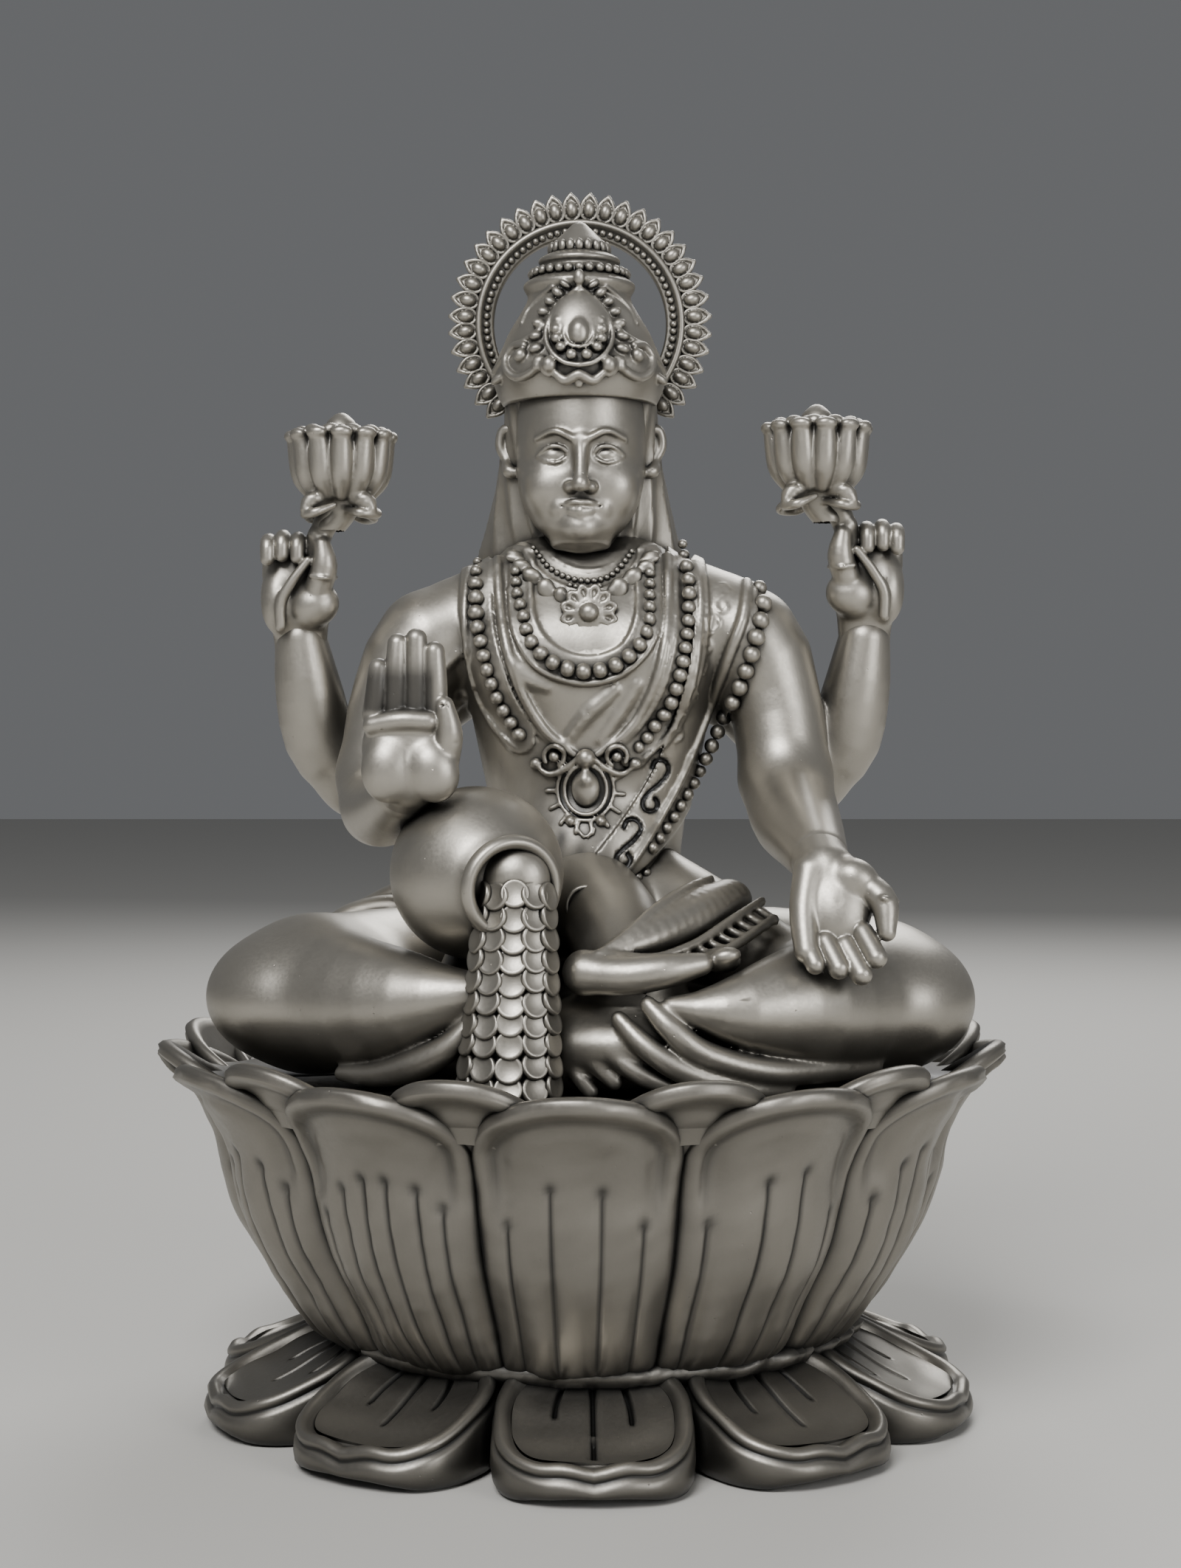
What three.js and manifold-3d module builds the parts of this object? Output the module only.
// A seated four-armed goddess on a double lotus plinth, cast in resin with an antique silver finish.
// Millimetres, +Z up, the goddess faces -Y. The origin is on the ground, under the middle of the plinth.
import * as THREE from "three";
import { mergeVertices } from "three/addons/utils/BufferGeometryUtils.js";
import Module from "manifold-3d";

const wasm = await Module();
wasm.setup();

// Driving sizes of the plinth
const LOWER_PETALS = 10; // petals that lie on the ground
const UPPER_PETALS = 12; // petals in each of the bowl's two rows
const FOOT_REACH = 72; // from the axis to the tip of a lower petal
const FOOT_PHASE = 0.8; // degrees by which the lower row is turned
const WAIST_RADIUS = 46; // narrowest part, between the lower petals and the bowl
const WAIST_HEIGHT = 15;
const BOWL_X = -1.2; // the bowl was cast a little off the middle of its foot
const BOWL_PHASE = -0.4; // degrees by which the upper rows are turned
const BOWL_TIP = 67; // height of the tip of an outer petal of the bowl
const BOWL_SEAM = 55.5; // height at which neighbouring petals of the bowl part
const BOWL_VALLEY = 5; // depth of the valley between two petals
const PETAL_THICK = 3.6;
const SEAT_HEIGHT = 63; // the figure sits here
const SEAT_RADIUS = 63; // where the valleys of the bowl are
const SEAT_BAYS = 9; // how much further it reaches behind the middle of an outer petal

// Driving sizes of the figure
const HEAD_X = -1.4; // the head is a little to the goddess's right
const HALO = { x: -1.6, y: 12, z: 205.7, hole: 16.5, band: 20.2, reach: 25.6, thick: 2.8 };
const HALO_PITCH = 360 / 44; // degrees from one leaf of the halo to the next
const HALO_LEAVES = 34; // leaves that the ring has above the shoulders
const COIN_THICK = 1;
const COIN_ROWS = 10;
const COINS = { low: 59, high: 100.4, narrow: 6.4, wide: 9.2, y: -54.6, topX: -12.6, footX: -13.6 };
const TIP_LENGTH = 0.75; // how far a limb's point runs past its last ring, in radii
const SMALL = { sides: 5 }; // faces round a finger or a scroll

const V = (x, y, z) => new THREE.Vector3(x, y, z);
const rad = THREE.MathUtils.degToRad;
const mix = THREE.MathUtils.lerp;

// A closed geometry as a solid that can be joined and cut.
function solid(geometry) {
  const loose = geometry.index ? geometry.toNonIndexed() : geometry;
  const bare = new THREE.BufferGeometry().setAttribute("position", loose.getAttribute("position"));
  const merged = mergeVertices(bare, 1e-4);
  return new wasm.Manifold(
    new wasm.Mesh({
      numProp: 3,
      vertProperties: new Float32Array(merged.attributes.position.array),
      triVerts: new Uint32Array(merged.index.array),
    }),
  );
}

const join = (geometries) => geometries.map(solid).reduce((all, one) => all.add(one));

// A solid as a named mesh with a material of its own.
function mesh(name, made, material) {
  const { numProp, numVert, vertProperties, triVerts } = made.getMesh();
  const points = new Float32Array(numVert * 3);
  for (let i = 0; i < numVert; i++) points.set(vertProperties.subarray(i * numProp, i * numProp + 3), i * 3);
  const geometry = new THREE.BufferGeometry()
    .setAttribute("position", new THREE.BufferAttribute(points, 3))
    .setIndex(new THREE.BufferAttribute(triVerts, 1));
  geometry.computeVertexNormals();
  const result = new THREE.Mesh(geometry, material);
  result.name = name;
  return result;
}

// A closed skin over rings of equal point counts, with a fan over each end, to its middle or to a tip.
function loft(rings, tips = []) {
  const n = rings[0].length;
  const middle = (ring) => ring.reduce((sum, p) => sum.add(p), V(0, 0, 0)).divideScalar(n);
  const points = [...rings.flat(), tips[0] ?? middle(rings[0]), tips[1] ?? middle(rings.at(-1))];
  const [low, high] = [points.length - 2, points.length - 1];
  const top = (rings.length - 1) * n;
  const index = [];
  for (let j = 0; j < n; j++) {
    const k = (j + 1) % n;
    for (let i = 0; i < top; i += n) index.push(i + j, i + k, i + n + k, i + j, i + n + k, i + n + j);
    index.push(low, k, j, high, top + j, top + k);
  }
  return new THREE.BufferGeometry().setFromPoints(points).setIndex(index);
}

// A level ellipse about (x, y) at height z, anticlockwise from +X.
function ellipse(x, y, z, rx, ry, sides) {
  return Array.from({ length: sides }, (_, i) => {
    const a = (i / sides) * 2 * Math.PI;
    return V(x + rx * Math.cos(a), y + ry * Math.sin(a), z);
  });
}

// A body of level ellipses, given from the bottom up as [z, x, y, rx, ry].
const stack = (levels, sides) => loft(levels.map(([z, x, y, rx, ry]) => ellipse(x, y, z, rx, ry, sides)));

// A limb through [x, y, z, radius] with pointed ends. flat below 1 thins it along the view.
function limb(path, { sides = 6, steps = path.length - 1, flat = 1 } = {}) {
  const curve = new THREE.CatmullRomCurve3(path.map(([x, y, z]) => V(x, y, z)));
  const radius = (t) => {
    const at = t * (path.length - 1);
    const i = Math.min(Math.floor(at), path.length - 2);
    return mix(path[i][3], path[i + 1][3], at - i);
  };
  const side = V(0, 1, 0).cross(curve.getTangent(0));
  if (side.length() < 0.3) side.set(1, 0, 0);
  const rings = Array.from({ length: steps + 1 }, (_, i) => {
    const t = i / steps;
    const along = curve.getTangent(t);
    side.projectOnPlane(along).normalize();
    const front = along.clone().cross(side);
    return Array.from({ length: sides }, (_, j) => {
      const a = (j / sides) * 2 * Math.PI;
      return curve
        .getPoint(t)
        .addScaledVector(side, radius(t) * Math.cos(a))
        .addScaledVector(front, radius(t) * flat * Math.sin(a));
    });
  });
  const tip = (t, way) => curve.getPoint(t).addScaledVector(curve.getTangent(t), way * radius(t));
  return loft(rings, [tip(0, -TIP_LENGTH), tip(1, TIP_LENGTH)]);
}

// An ellipsoid, turned about X when tilt is given in degrees.
function ball([x, y, z], [rx, ry, rz], { around = 8, up = 6, tilt = 0 } = {}) {
  return new THREE.SphereGeometry(1, around, up)
    .rotateX(Math.PI / 2)
    .scale(rx, ry, rz)
    .rotateX(rad(tilt))
    .translate(x, y, z);
}

// A body turned from [radius, height] points, its axis laid along a direction.
function turned(profile, sides, [x, y, z] = [0, 0, 0], along = V(0, 0, 1)) {
  const stand = new THREE.Quaternion().setFromUnitVectors(V(0, 1, 0), along.clone().normalize());
  const points = profile.map(([r, h]) => new THREE.Vector2(r, h));
  return new THREE.LatheGeometry(points, sides).applyQuaternion(stand).translate(x, y, z);
}

// A drum with a ridge round its middle, such as a bangle
const drum = (radius, half, ridge, at, along) =>
  turned([[0, -half], [radius, -half], [radius + ridge, 0], [radius, half], [0, half]], 10, at, along);

// A disc with a domed face, such as a pendant
const boss = (radius, depth, dome, sides, at, along = V(0, -1, 0)) =>
  turned(
    [[0, -depth], [radius, -depth], [radius, dome * 0.4], [radius * 0.45, dome], [0, dome]],
    sides,
    at,
    along,
  );

// A height-to-radius table read in between its rows
function tableAt(table, z) {
  const i = Math.max(1, table.findIndex(([height]) => height >= z));
  const [[z0, r0], [z1, r1]] = z > table.at(-1)[0] ? table.slice(-2) : [table[i - 1], table[i]];
  return mix(r0, r1, (z - z0) / (z1 - z0));
}

const polar = (r, degrees, z) => V(r * Math.sin(rad(degrees)), -r * Math.cos(rad(degrees)), z);

// The bowl's outline along the middle of an outer petal, as [height, radius]
const BOWL_PROFILE = [
  [14, 47], [17, 52.4], [22, 57.2], [28, 61], [36, 65.6],
  [44, 68.3], [52, 70], [58, 73], [63, 77.6], [BOWL_TIP, 81.8],
];
const BOWL_COLUMNS = 6; // faces across one petal
const BOWL_LEVELS = [0, 0.18, 0.45, 0.75, 1]; // from the waist to the lip
const VALLEY_START = 3; // the valley has its full depth from a third of the height

// The bowl of outer petals and the seat inside it: one skin, with a valley between petals and arched lips
function bowl() {
  const columns = UPPER_PETALS * BOWL_COLUMNS;
  const ring = (place) =>
    Array.from({ length: columns }, (_, i) => {
      const across = ((i % BOWL_COLUMNS) / BOWL_COLUMNS) * 2 - 1;
      const lip = mix(BOWL_SEAM, BOWL_TIP, Math.sqrt(1 - across * across));
      const degrees = BOWL_PHASE + ((i - BOWL_COLUMNS / 2) / columns) * 360;
      const [r, z] = place(lip, BOWL_VALLEY * across * across);
      return polar(r, degrees, z);
    });
  const wall = BOWL_LEVELS.map((share) =>
    ring((lip, drop) => {
      const z = mix(BOWL_PROFILE[0][0], lip, share);
      return [tableAt(BOWL_PROFILE, z) - drop * Math.min(1, share * VALLEY_START), z];
    }),
  );
  const lipInside = ring((lip, drop) => [tableAt(BOWL_PROFILE, lip) - drop - PETAL_THICK, lip - 0.6]);
  const seat = ring((lip) => {
    const bay = (lip - BOWL_SEAM) / (BOWL_TIP - BOWL_SEAM);
    return [SEAT_RADIUS + SEAT_BAYS * bay, SEAT_HEIGHT];
  });
  return loft([...wall, lipInside, seat]);
}

// One petal of the inner row, a curved leaf that flares outwards at its tip
function innerPetal(degrees) {
  const levels = [[50, 63.5, 12.6], [56, 67.8, 12.6], [61, 72.4, 11.2], [65, 77, 7.6], [68.2, 80, 2.6]];
  return loft(
    levels.map(([z, r, half]) => [
      ...[-1, -0.4, 0.4, 1].map((t) => polar(r - 1.5 * t * t, degrees + t * half, z)),
      ...[0.8, -0.8].map((t) => polar(r - PETAL_THICK, degrees + t * half, z)),
    ]),
  );
}

// One lower petal: a shallow dish with a raised rim that lies on the ground and lifts at its tip
function footPetal(degrees) {
  const stations = [
    // reach, half width, floor height, rim height, underside height
    [40, 12, 18, 18, 0],
    [50, 15.6, 13, 14.4, 0],
    [58, 16.8, 9, 11.2, 0],
    [65, 15, 6.4, 8.8, 0],
    [69.5, 10, 5.4, 7.6, 0.6],
    [FOOT_REACH, 4, 5.8, 6.6, 2.2],
  ];
  const rings = stations.map(([reach, half, floor, rim, under]) => {
    const right = [[half, under], [half, rim - 1], [half - 2, rim]];
    const left = right.map(([x, z]) => [-x, z]).reverse();
    return [...right, [0, floor], ...left].map(([x, z]) => V(x, -reach, z));
  });
  return loft(rings).rotateZ(rad(degrees));
}

function plinth() {
  const row = (count, start) => Array.from({ length: count }, (_, i) => start + (i * 360) / count);
  const core = turned([[0, 0], [50, 0], [WAIST_RADIUS, WAIST_HEIGHT], [50, 18], [0, 18]], 30);
  const upper = [bowl(), ...row(UPPER_PETALS, BOWL_PHASE + 180 / UPPER_PETALS).map(innerPetal)];
  for (const piece of upper) piece.translate(BOWL_X, 0, 0);
  return join([core, ...upper, ...row(LOWER_PETALS, FOOT_PHASE).map(footPetal)]);
}

// The torso, from the seat to the foot of the neck
const TORSO = [
  [60, 0, 4, 27, 20],
  [76, 0, 5, 27, 19],
  [88, 0, 5, 22, 15.5],
  [99, 0, 4, 18, 12.5],
  [110, 0, 2.5, 19, 12.5],
  [124, 0, 1, 22, 13.5],
  [138, 0, 0, 25, 15],
  [148, 0.5, 0.5, 27.5, 13.5],
  [155, 0, 2, 25, 10.5],
  [160, -1, 2, 13, 8],
];

// The torso's front at x and z, standing proud by a little.
function chest(x, z, proud = 0) {
  const at = (k) => tableAt(TORSO.map((level) => [level[0], level[k]]), z);
  const across = (x - at(1)) / at(3);
  return at(2) - at(4) * Math.sqrt(Math.max(0.05, 1 - across * across)) - proud;
}

// A band on the chest through [x, z], with one radius
const onChest = (points, r, options) =>
  limb(points.map(([x, z]) => [x, chest(x, z, r * 0.3), z, r]), options);

// The garlands, necklace, sash, belt and pendants
function ornaments() {
  const rightGarland = [[-20.5, 155], [-22.6, 148], [-21, 138], [-16.5, 127.5], [-10, 120.5], [-1, 117.5]];
  const leftGarland = [[19, 155], [22.5, 148], [22.5, 138], [17.5, 127.5], [9.5, 120.5], [-1, 117.5]];
  const necklace = [
    [-13.5, 156], [-12, 147], [-8, 140.5], [-1.4, 137.6], [5.6, 139.5], [10, 144], [11.8, 156],
  ];
  const sash = [[22.5, 154], [28.5, 147], [26.5, 136], [21.5, 125], [16, 115], [9, 106], [3.5, 101.5]];
  const belt = [[-16, 97], [-1, 97.5], [9, 100], [15, 103], [18.4, 106]];
  return [
    onChest(rightGarland, 2.9, { sides: 5, steps: 7, flat: 0.6 }),
    onChest(leftGarland, 2.9, { sides: 5, steps: 7, flat: 0.6 }),
    onChest(necklace, 1.9, { sides: 5, steps: 9, flat: 0.8 }),
    onChest(sash, 4.8, { sides: 6, steps: 7, flat: 0.45 }),
    onChest(belt, 2.6, { sides: 5, steps: 5, flat: 0.7 }),
    boss(5.2, 2, 1.8, 12, [0, chest(0, 148.4, 0.5), 148.4]),
    ball([-0.5, chest(-0.5, 115.4), 115.4], [4.6, 2.6, 5.6]),
    boss(3.9, 10, 2, 12, [-0.4, -23.5, 94.5]),
    boss(2.4, 8, 1.4, 8, [-0.5, -26, 88]),
  ];
}

// The head: face, features, ears, hair and earrings
function head() {
  const skull = stack(
    [
      [161.4, HEAD_X, -8.6, 3.4, 3],
      [163.2, HEAD_X, -6.4, 6.6, 6.4],
      [167, HEAD_X, -3.6, 9.8, 9.6],
      [172, HEAD_X, -1.6, 11.7, 11.9],
      [179, HEAD_X, -0.4, 12.4, 12.9],
      [187, HEAD_X, 0, 12.2, 12.8],
      [196, HEAD_X, 0.5, 11.5, 12],
    ],
    12,
  );
  const hair = stack(
    [
      [149, HEAD_X, 10, 17, 4],
      [157, HEAD_X, 8, 20.5, 7],
      [165, HEAD_X, 7, 18.5, 8.2],
      [174, HEAD_X, 6, 16.6, 8.6],
      [182, HEAD_X, 4.5, 15.4, 10.4],
      [190, HEAD_X, 2.4, 14.8, 12.6],
      [197, HEAD_X, 1, 14.6, 13.6],
    ],
    12,
  );
  const sides = [-1, 1].flatMap((side) => {
    const x = (out) => HEAD_X + side * out;
    return [
      limb([[x(14.2), -1, 184.5, 1.8], [x(14.8), -1.4, 180, 2], [x(13.6), -2, 175.6, 1.3]], { sides: 6 }),
      turned([[0, 0], [3.7, 0], [3.9, 1.2], [1.7, 6.8], [0, 7.6]], 8, [x(15.2), -2.6, 166.6]),
      ball([x(14.4), -3, 174.8], [1.3, 1.3, 1.2], { around: 6, up: 4 }),
      ball([x(4.9), -11, 178.6], [2.7, 1.7, 1.3], { around: 8, up: 4 }),
    ];
  });
  const nose = loft([
    [V(HEAD_X - 1, -11.5, 180), V(HEAD_X, -13.2, 180), V(HEAD_X + 1, -11.5, 180)].reverse(),
    [V(HEAD_X - 2.3, -12, 173.6), V(HEAD_X, -16.2, 174.2), V(HEAD_X + 2.3, -12, 173.6)].reverse(),
    [V(HEAD_X - 1.8, -11.4, 172.4), V(HEAD_X, -14, 172.3), V(HEAD_X + 1.8, -11.4, 172.4)].reverse(),
  ].reverse().map((ring) => ring.reverse()));
  const lips = ball([HEAD_X, -11.2, 168.6], [3.4, 2.4, 1.4], { around: 8, up: 4 });
  return [skull, hair, ...sides, nose, lips, limb([[-1, 2, 156, 7.6], [HEAD_X, 1, 168, 6.8]], { sides: 10 })];
}

// The tiered crown, with a tear-shaped jewel and scrolls on its front
function crown() {
  const tiers = [
    [0, 189], [14.6, 189], [16.6, 195], [15.8, 198.8], [13.2, 203], [9.9, 208.8],
    [10.8, 211], [7.2, 214.6], [7.8, 216], [5.8, 218.4], [1.4, 222.6], [0, 223.9],
  ];
  const jewel = (size, depth) => {
    const outline = new THREE.Shape()
      .moveTo(0, 8.4 * size)
      .bezierCurveTo(1.6 * size, 5.6 * size, 6.2 * size, 2.4 * size, 6.1 * size, -1.8 * size)
      .bezierCurveTo(6 * size, -8.4 * size, -6 * size, -8.4 * size, -6.1 * size, -1.8 * size)
      .bezierCurveTo(-6.2 * size, 2.4 * size, -1.6 * size, 5.6 * size, 0, 8.4 * size);
    return new THREE.ExtrudeGeometry(outline, { depth, bevelEnabled: false, curveSegments: 5 })
      .rotateX(Math.PI / 2)
      .rotateX(rad(-26))
      .translate(HEAD_X, -12.2, 202);
  };
  const scrolls = [-1, 1].flatMap((side) => {
    const x = (out) => HEAD_X + side * out;
    return [
      limb([[x(7), -14.4, 193.8, 1.6], [x(11.6), -12, 195.6, 1.8], [x(13.8), -9, 199.4, 1.5]], SMALL),
      limb([[x(5), -15.2, 195.6, 1.7], [x(0.2), -16, 192.2, 1.6]], SMALL),
      limb([[x(5.5), -13, 190.6, 1.5], [x(11), -9, 189, 1.7], [x(14.6), -3, 184.6, 1.5]], SMALL),
    ];
  });
  return [turned(tiers, 16, [HEAD_X, 1, 0]), jewel(1, 3.4), jewel(0.55, 5), ...scrolls];
}

// The halo: an open ring of pointed leaves behind the crown, held by the hair at its two ends.
function halo() {
  const at = (r, degrees) => [r * Math.sin(rad(degrees)), r * Math.cos(rad(degrees))];
  const end = (HALO_LEAVES * HALO_PITCH) / 2;
  const outline = new THREE.Shape();
  for (let i = 0; i < HALO_LEAVES; i++) {
    const start = -end + i * HALO_PITCH;
    const leaf = [[HALO.band, 0], [HALO.reach - 0.4, 0.28], [HALO.reach - 0.4, 0.72]];
    for (const [r, share] of leaf) {
      const place = at(r, start + share * HALO_PITCH);
      if (i === 0 && share === 0) outline.moveTo(...place);
      else outline.lineTo(...place);
    }
  }
  outline.lineTo(...at(HALO.band, end));
  const hole = 20; // straight stretches along the inner edge
  for (let i = 0; i <= hole; i++) outline.lineTo(...at(HALO.hole, mix(end, -end, i / hole)));
  return new THREE.ExtrudeGeometry(outline, { depth: HALO.thick, bevelEnabled: false })
    .rotateX(Math.PI / 2)
    .translate(HALO.x, HALO.y + HALO.thick / 2, HALO.z);
}

// A half-open lotus with a seed head, on its stem
function heldLotus(x, lean) {
  const columns = 16;
  const petalRing = ([h, r, dip]) =>
    ellipse(0, 0, h, r, r, columns).map((p, i) => (i % 2 ? V(p.x * 0.93, p.y * 0.93, h - dip) : p));
  const flower = loft([
    ...[[0, 4.4, 0], [2, 6.8, 0], [7, 8.4, 0], [11, 10, 1.4]].map(petalRing),
    ellipse(0, 0, 10.2, 5, 5, columns),
    ellipse(0, 0, 13.6, 2.6, 2.6, columns),
  ]);
  const sepals = [-1, 1].map((side) =>
    limb([[side * 1.5, -3, 0.6, 1.7], [side * 4.8, -4.8, -1.8, 1.7], [side * 6.4, -5, -3.2, 1.2]], SMALL),
  );
  const stem = limb([[0, 0, 1, 3.6], [lean * 1.2, 1, -3.4, 3.2], [lean * 4, 1.6, -8.5, 2.4]], { sides: 7 });
  return [flower, ...sepals, stem].map((piece) => piece.translate(x, -4, 170.4));
}

// A raised rear arm, side -1 on the goddess's right, with a bangle and a fist round a lotus stem
function raisedArm(side, wristX, lotusX) {
  const x = (out) => side * out;
  const hand = wristX - 0.6;
  const arm = [
    [x(18), 6, 142, 8],
    [x(34), 9.6, 130, 7.8],
    [x(wristX - 9.6), 8.6, 117, 6.9],
    [x(wristX - 3.8), 6, 124, 6.9],
    [x(wristX - 1.2), 3.6, 134, 6.3],
    [x(wristX), 2, 145, 5],
  ];
  const palm = [[x(wristX - 0.2), 1, 149, 4.6], [x(hand), 0, 154.6, 5.8], [x(hand + 1), 0, 159, 5]];
  const thumb = [
    [x(hand - 3.6), -3, 152.4, 2.8],
    [x(hand - 5), -4.6, 158, 2.2],
    [x(hand - 4.2), -4.8, 162, 1.8],
  ];
  const finger = (out) => [
    [x(hand + out), -1, 158, 1.9],
    [x(hand + out), -3.4, 162, 1.9],
    [x(hand + out), -6.2, 160.4, 1.6],
  ];
  return [
    limb(arm, { sides: 8, steps: 7 }),
    drum(6, 3.3, 0.4, [x(wristX - 0.2), 2, 144.4], V(0, -0.06, 1)),
    limb(palm, { sides: 7, flat: 0.72 }),
    limb(thumb, SMALL),
    ...[5.2, 2.2, -1].map((out) => limb(finger(out), SMALL)),
    ...heldLotus(x(lotusX), side),
  ];
}

// The front right arm, raised with an open palm
function blessingArm() {
  const fingers = [
    [[-36.3, -44.4, 128, 1.9], [-36.2, -45.4, 136.4, 1.6]],
    [[-33, -44.8, 129, 2.1], [-32.7, -46, 141, 1.7]],
    [[-29.7, -44.8, 129, 2.1], [-29.5, -46.2, 142, 1.7]],
    [[-26.5, -44.6, 128.4, 2.1], [-26.4, -45.8, 139.8, 1.7]],
    [[-25.4, -44, 117.6, 2.8], [-23.6, -46, 125.4, 2.3], [-24.4, -46.8, 130.6, 1.9]],
  ];
  return [
    limb(
      [
        [-20, 2, 146, 9],
        [-31, 0, 142.5, 9],
        [-36.6, -3, 129, 8],
        [-40, -11, 113, 7.6],
        [-37, -24, 112.4, 6.6],
        [-31.4, -42, 116.6, 4.6],
      ],
      { sides: 8, steps: 7 },
    ),
    ball([-30.6, -44, 121.6], [7.9, 3.6, 9.8], { around: 8, up: 5 }),
    ...fingers.map((path) => limb(path, SMALL)),
    drum(6, 2, 0.5, [-32.8, -37, 114.2], V(0.25, -1, 0.12)),
  ];
}

// The front left arm, lowered over the knee with coins in its open hand
function givingArm() {
  const fingers = [
    [[38.6, -46, 92, 2], [38.6, -49.4, 86.6, 1.7]],
    [[42, -47, 90.6, 2.1], [43.2, -51, 86, 1.8]],
    [[45.2, -47, 90.4, 2.1], [47, -51.4, 84.8, 1.8]],
    [[48, -46.4, 91.6, 2], [50.4, -50.6, 88, 1.7]],
    [[46.6, -43, 100, 2.9], [50.4, -46.4, 95.4, 2.3], [50, -48.8, 91.4, 1.8]],
  ];
  const coin = (y, z) => turned([[0, -1], [3.9, -1], [3.9, 1.3], [0, 1.3]], 9, [43.6, y, z], V(0, -0.8, 0.6));
  return [
    limb(
      [
        [20, 2, 146, 9],
        [31, 0, 143, 9],
        [35.4, -1, 130, 8.5],
        [37, -5, 115.6, 8.6],
        [38.6, -20, 109.4, 8],
        [40.4, -37, 104, 5.6],
      ],
      { sides: 8, steps: 7 },
    ),
    drum(9.2, 3.4, 0.4, [35.4, -1, 130.6], V(-0.1, 0.1, 1)),
    drum(6, 1.8, 0.5, [40.2, -36.6, 104.2], V(0.1, -1, -0.3)),
    ball([42.6, -43.6, 96.6], [7.2, 3.8, 9], { around: 8, up: 5, tilt: -22 }),
    ...fingers.map((path) => limb(path, SMALL)),
    coin(-45.6, 95),
    coin(-47.2, 92.4),
  ];
}

// The crossed legs under their cloth, with the folds of the hem and one bare foot
function legs() {
  const rightLeg = [
    [-12, 12, 77, 15], [-34, 2, 79, 14.5], [-48, -12, 79, 13.6], [-34, -34, 76.4, 11.5], [-12, -44, 73, 9],
  ];
  const leftLeg = [
    [12, 12, 77, 15], [34, 2, 79, 14.5], [48, -12, 78, 13.8], [32, -36, 76.6, 12], [10, -44.5, 76, 9],
  ];
  const hem = (drop) => [
    [2, -51.5, 75.5 - drop, 1.9],
    [14, -54.5, 71.4 - drop, 2.2],
    [27, -52, 69.4 - drop * 0.7, 2.2],
    [38, -45, 69, 1.6],
  ];
  const foot = [[-1.5, -46, 82.6, 5], [7, -48, 84.2, 4.6], [17, -46, 85.8, 4], [27, -42, 88.2, 2.6]];
  return [
    limb(rightLeg, { sides: 8 }),
    ball([-50.4, -16, 78.4], [19, 20, 14.2], { around: 10, up: 6 }),
    limb(leftLeg, { sides: 8 }),
    ball([51.6, -16, 77.2], [19.4, 20, 14.6], { around: 10, up: 6 }),
    ball([0, -22, 71], [34, 30, 14], { around: 10, up: 4 }),
    ball([2, -48, 66], [20, 10, 6], { around: 8, up: 4 }),
    limb(hem(0), { sides: 5, steps: 4 }),
    limb(hem(4.4), { sides: 5, steps: 4 }),
    limb(foot, { sides: 7 }),
    limb([[-4, -20, 84, 6], [14, -20, 92, 6], [23, -10, 98, 5]], { sides: 6 }),
    limb([[10, -34, 84, 4], [26, -26, 90, 4.4], [34, -12, 93, 3.4]], { sides: 6, flat: 0.7 }),
  ];
}

// The pot on its side, with its mouth to the front
function pot() {
  const profile = [
    [0, -15.2], [7.6, -13.2], [13, -7.8], [15.2, 0], [13.6, 7], [9.4, 11.8], [7.4, 13.6],
    [8.9, 15.4], [8.9, 17.4], [7, 17.8], [5.6, 15.6], [0, 15.6],
  ];
  return turned(profile, 14, [-19.6, -36, 101.4], V(7, -16, -2));
}

// The coins that run from the pot's mouth to the seat, in rows that overlap like shingles
function coins() {
  const columns = 8; // coins round one row
  const rings = [];
  for (let row = 0; row <= COIN_ROWS; row++) {
    const z = mix(COINS.low, COINS.high, row / COIN_ROWS);
    const share = 1 - row / COIN_ROWS;
    const [rx, ry] = [mix(COINS.narrow, COINS.wide, share), mix(5.4, 8.4, share)];
    const x = mix(COINS.topX, COINS.footX, share);
    for (const [lift, out] of [[0, COIN_THICK], [2.9, -0.2]]) {
      const ring = Array.from({ length: columns * 2 }, (_, i) => {
        const a = ((i + (row % 2)) / columns) * Math.PI;
        const grow = out - (i % 2) * COIN_THICK * 0.7;
        const drop = out > 0 && i % 2 === 0 ? -0.9 : 0;
        return V(x + (rx + grow) * Math.cos(a), COINS.y + (ry + grow) * Math.sin(a), z + lift + drop);
      });
      rings.push(ring);
    }
  }
  return loft(rings);
}

// The whole figure is one casting, flat underneath where it meets the seat.
function figure() {
  const all = join([
    stack(TORSO, 14),
    ...ornaments(),
    ...head(),
    ...crown(),
    halo(),
    ...raisedArm(-1, 54.8, 45.8),
    ...raisedArm(1, 52.6, 42.6),
    ...blessingArm(),
    ...givingArm(),
    ...legs(),
    pot(),
    coins(),
  ]);
  const below = solid(new THREE.BoxGeometry(200, 200, 40).translate(0, 0, SEAT_HEIGHT - 20));
  // Pieces that cross can enclose a speck of air, which keeping only the outer skin fills.
  const skins = all.subtract(below).decompose();
  return skins.reduce((most, skin) => (skin.volume() > most.volume() ? skin : most));
}

const silver = () => new THREE.MeshStandardMaterial({ color: 0x8f8a80, roughness: 0.42, metalness: 0.85 });

const idol = new THREE.Group();
idol.add(mesh("lotus_plinth", plinth(), silver()));
idol.add(mesh("goddess_figure", figure(), silver()));

export default idol;
